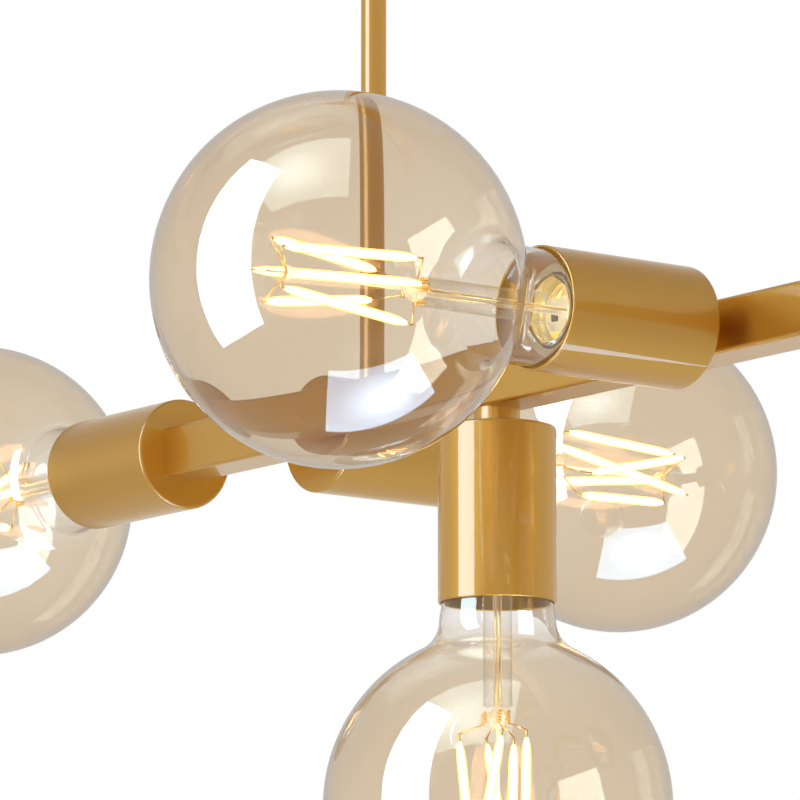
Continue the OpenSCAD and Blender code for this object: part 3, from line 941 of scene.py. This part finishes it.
def white_world():
    """White to the camera, in reflections and through glass, and softer as light."""
    world = bpy.data.worlds.new("studio")
    g = Graph(world)
    seen_by = [g.node("ShaderNodeLightPath", {}, {}, f"Is {kind} Ray")
               for kind in ("Camera", "Glossy", "Transmission")]
    seen = g.maths("MAXIMUM", g.maths("MAXIMUM", seen_by[0], seen_by[1]), seen_by[2])
    soft, white = (g.node("ShaderNodeBackground", {}, {"Color": WHITE, "Strength": strength})
                   for strength in (SOFT_WORLD, 1.0))
    chosen = g.node("ShaderNodeMixShader", {}, {0: seen, 1: soft, 2: white})
    g.node("ShaderNodeOutputWorld", {}, {"Surface": chosen})
    return world


world = white_world()
world.cycles.sampling_method = "NONE"
bpy.context.scene.world = world
print("world:", len(world.node_tree.nodes), "nodes")

# %% Floor
FLOOR_Z = -1.9
FLOOR_HALF = 40
FADE_FROM = 3.0
FADE_TO = 12.0


def pale_floor():
    """A matt pale floor that fades away with distance."""
    f = Finish("pale_floor")
    point = f.place()
    distance = f.node("ShaderNodeVectorMath", {"operation": "LENGTH"}, {0: point}, "Value")
    fade = f.node("ShaderNodeMapRange", {"interpolation_type": "SMOOTHSTEP"},
                  {"Value": distance, "From Min": FADE_FROM, "From Max": FADE_TO})
    clouds = f.noise(point, 3, 2.0)
    matt = f.node("ShaderNodeBsdfDiffuse", {},
                  {"Color": f.mix(clouds, (0.88, 0.87, 0.86, 1), (0.90, 0.89, 0.88, 1))})
    clear = f.node("ShaderNodeBsdfTransparent", {}, {})
    return f.surface(f.node("ShaderNodeMixShader", {}, {0: fade, 1: matt, 2: clear}))


def staged(name, mesh, material):
    """Puts a mesh into the studio, as an object that isn't part of the light."""
    mesh.materials.append(material)
    made = bpy.data.objects.new(name, mesh)
    bpy.context.scene.collection.objects.link(made)
    return made


def card(name, size, material):
    """A flat rectangle at the origin that faces +Z."""
    bm = bmesh.new()
    bmesh.ops.create_grid(bm, x_segments=1, y_segments=1, size=0.5)
    bmesh.ops.scale(bm, vec=(size[0], size[1], 1), verts=bm.verts[:])
    return staged(name, as_mesh(bm, name, smooth=False), material)


floor = card("floor", (2 * FLOOR_HALF, 2 * FLOOR_HALF), pale_floor())
floor.location.z = FLOOR_Z
print("floor at", FLOOR_Z)

# %% [markdown]
# ## What the reflections see
#
# Shiny things show the room and not the lamp that lights them. The room here is a large ball
# round the light: dim above and below, brighter at eye level, and brightest where the backdrop
# would stand, white for the metal and light grey for the glass, whose rims then stand out from
# the background. Two panels stand in it, one upright on the left and one lying below, as the
# bright shapes on the globes show. Only reflected rays see the room. What the camera sees
# directly, or straight through glass, stays the white background.
#
# The panels are far brighter for a mirror-sharp reflection, which keeps only about a
# twenty-fifth of the light, than for the soft glow of the plating.

# %% Helpers for the room
CAMERA_BEARING = math.atan2(-looking.y, -looking.x)
TOWARDS = Vector((math.cos(CAMERA_BEARING), math.sin(CAMERA_BEARING), 0))
RIGHT = Vector((-math.sin(CAMERA_BEARING), math.cos(CAMERA_BEARING), 0))
HUB = places[NEAREST_LAMP].centre


def seen_reflected(f, glow):
    """Shows the glow to reflected rays alone, and clear air to all others."""
    bounces = f.node("ShaderNodeLightPath", {}, {}, "Glossy Depth")
    reflected = f.maths("GREATER_THAN", bounces, 0.5)
    clear = f.node("ShaderNodeBsdfTransparent", {}, {})
    f.surface(f.node("ShaderNodeMixShader", {}, {0: reflected, 1: clear, 2: glow}))
    f.material.cycles.emission_sampling = "NONE"
    return f.material


print("towards the camera:", [round(v, 3) for v in TOWARDS])

# %% The room
ROOM_R = 6.0
ROOM_STOPS = [
    (0.00, (0.38, 0.36, 0.35, 1)),
    (0.30, (0.50, 0.47, 0.45, 1)),
    (0.52, (0.68, 0.63, 0.59, 1)),
    (0.75, (0.52, 0.47, 0.43, 1)),
    (1.00, (0.42, 0.37, 0.34, 1)),
]
METAL_BACKDROP = WHITE
GLASS_BACKDROP = (0.66, 0.63, 0.60, 1)
METAL_BACKDROP_EDGES = (math.cos(math.radians(30)), math.cos(math.radians(15)))
GLASS_BACKDROP_EDGES = (math.cos(math.radians(60)), math.cos(math.radians(34)))


def studio_room():
    """The walls, and the backdrop that the camera looks towards."""
    f = Finish("studio_room")
    way = f.node("ShaderNodeVectorMath", {"operation": "NORMALIZE"}, {0: f.place()})
    height = f.node("ShaderNodeSeparateXYZ", {}, {0: way}, "Z")
    walls = f.node("ShaderNodeValToRGB", {"stops": ROOM_STOPS}, {"Fac": 0.5 + 0.5 * height},
                   "Color")
    back = f.node("ShaderNodeVectorMath", {"operation": "DOT_PRODUCT"},
                  {0: way, 1: tuple(looking)}, "Value")
    for_metal, for_glass = (
        f.node("ShaderNodeMapRange", {"interpolation_type": "SMOOTHSTEP"},
               {"Value": back, "From Min": edges[0], "From Max": edges[1]})
        for edges in (METAL_BACKDROP_EDGES, GLASS_BACKDROP_EDGES))
    sharp = f.node("ShaderNodeLightPath", {}, {}, "Is Singular Ray")
    backdrop = for_metal + (for_glass - for_metal) * sharp
    colour = f.mix(backdrop, walls, f.mix(sharp, METAL_BACKDROP, GLASS_BACKDROP))
    return seen_reflected(f, f.node("ShaderNodeEmission", {}, {"Color": colour}))


bm = bmesh.new()
bmesh.ops.create_icosphere(bm, subdivisions=4, radius=ROOM_R)
room = staged("studio_room", as_mesh(bm, "studio_room"), studio_room())
room.location = HUB
print("room:", len(room.data.polygons), "faces")

# %% The two panels
SIDE_BEARING = math.radians(-72)
SIDE_AWAY = 0.9
SIDE_SIZE = (0.66, 1.92)
SIDE_RISE = 0.39
SIDE_COLOUR = (0.60, 0.78, 1.0, 1)
BELOW_COLOUR = (0.50, 0.72, 1.0, 1)
BELOW_DROP = 0.9
BELOW_RIGHT = 0.365
BELOW_SIZE = (0.90, 0.80)


def panel(name, size, colour, sharp, soft, hot):
    """A bright rectangle.

    Its brightness is sharp or soft, for each kind of reflection, and hot times that in its
    middle.
    """
    f = Finish(name)
    point = f.place()
    spread = f.node("ShaderNodeVectorMath", {"operation": "LENGTH"},
                    {0: f.stretched(point, (1 / size[0], 1 / size[1], 1))}, "Value")
    centre = f.node("ShaderNodeMapRange", {"interpolation_type": "SMOOTHSTEP"},
                    {"Value": spread, "From Min": 0.0, "From Max": 0.5,
                     "To Min": hot, "To Max": 1.0})
    mirror = f.node("ShaderNodeLightPath", {}, {}, "Is Singular Ray")
    strength = (soft + (sharp - soft) * mirror) * centre
    glow = f.node("ShaderNodeEmission", {}, {
        "Color": f.mix(mirror, WHITE, colour), "Strength": strength})
    return card(name, size, seen_reflected(f, glow))


side_panel = panel("side_panel", SIDE_SIZE, SIDE_COLOUR, sharp=14.0, soft=1.3, hot=1.0)
side_way = TOWARDS * math.cos(SIDE_BEARING) + RIGHT * math.sin(SIDE_BEARING)
side_panel.location = HUB + side_way * SIDE_AWAY + UP * SIDE_RISE
side_panel.rotation_euler = side_way.to_track_quat("Z", "Y").to_euler()

low_panel = panel("low_panel", BELOW_SIZE, BELOW_COLOUR, sharp=8.5, soft=0.6, hot=2.2)
low_panel.location = HUB - UP * BELOW_DROP + RIGHT * BELOW_RIGHT
low_panel.rotation_euler = (0, 0, CAMERA_BEARING + math.pi / 2)
print("panels at", [round(v, 3) for v in (*side_panel.location, *low_panel.location)])

# %% The lamp overhead
OVERHEAD_SIZE = 2.4
OVERHEAD_RISE = 2.6
OVERHEAD_BRIGHTNESS = 1.6

overhead_data = bpy.data.lights.new("overhead", "AREA")
overhead_data.size = OVERHEAD_SIZE
overhead_data.energy = OVERHEAD_BRIGHTNESS * math.pi * OVERHEAD_SIZE ** 2
overhead = bpy.data.objects.new("overhead", overhead_data)
overhead.location = UP * OVERHEAD_RISE
overhead.visible_camera = False
overhead.visible_glossy = False
overhead.visible_transmission = False
bpy.context.scene.collection.objects.link(overhead)
print("overhead lamp:", round(overhead_data.energy, 1), "W")

# %% [markdown]
# ## The end

# %% The end
print("the scene is dressed")
